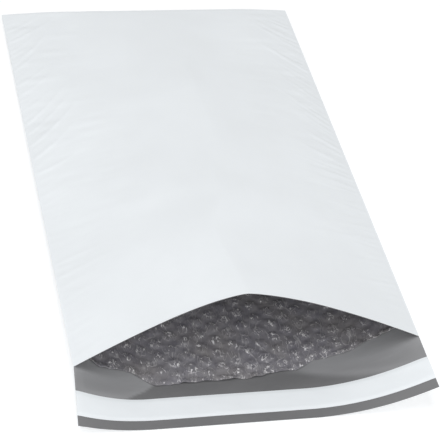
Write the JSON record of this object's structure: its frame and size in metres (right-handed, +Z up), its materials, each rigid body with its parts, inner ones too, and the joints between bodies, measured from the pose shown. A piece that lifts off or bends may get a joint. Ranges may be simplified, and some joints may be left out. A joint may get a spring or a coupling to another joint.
{
  "type": "bubble mailer",
  "caption": "Padded poly envelope with a bubble film lining, an open mouth and a flap with a covered adhesive strip.",
  "frame": {"origin": "under the middle of the whole mailer with its flap, on the surface that it lies on", "axes": "+Y from the open mouth to the closed end, +Z up from the back panel, +X to the right seen from the mouth"},
  "size_m": [0.216, 0.406, 0.0614],
  "materials": {
    "outer_film": "satin white poly film, grey on its inner side",
    "bubble_lining": "dark grey translucent bubble film with crinkles",
    "adhesive_strip": "clear amber hot-melt adhesive",
    "release_liner": "smooth white release strip"
  },
  "bodies": {
    "root": {"outer_film": "outer_film", "bubble_lining": "bubble_lining", "adhesive_strip": "adhesive_strip", "release_liner": "release_liner"}
  },
  "joints": []
}
